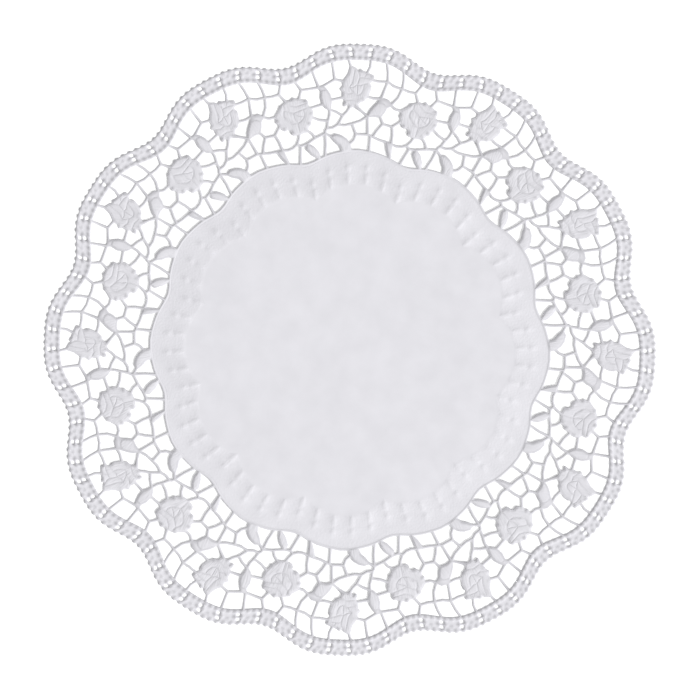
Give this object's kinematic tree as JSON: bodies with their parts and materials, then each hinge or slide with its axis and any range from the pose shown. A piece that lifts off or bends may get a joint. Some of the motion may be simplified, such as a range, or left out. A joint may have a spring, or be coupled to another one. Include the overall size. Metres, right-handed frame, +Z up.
{
  "type": "paper doily",
  "caption": "Round white paper doily: a plain centre in a wide band of die-cut, embossed lace with roses, leaves and a scalloped braid edge.",
  "frame": {"origin": "middle of the plain centre, on the sheet's underside, which is the surface it lies on", "axes": "+Z up out of the sheet, +Y towards the top of the first scallop, which stands 2.1 degrees clockwise of it"},
  "size_m": [0.2996, 0.2996, 0.001],
  "materials": {
    "paper": "matte, embossed"
  },
  "bodies": {
    "root": {"lace_sheet": "paper"}
  },
  "joints": []
}
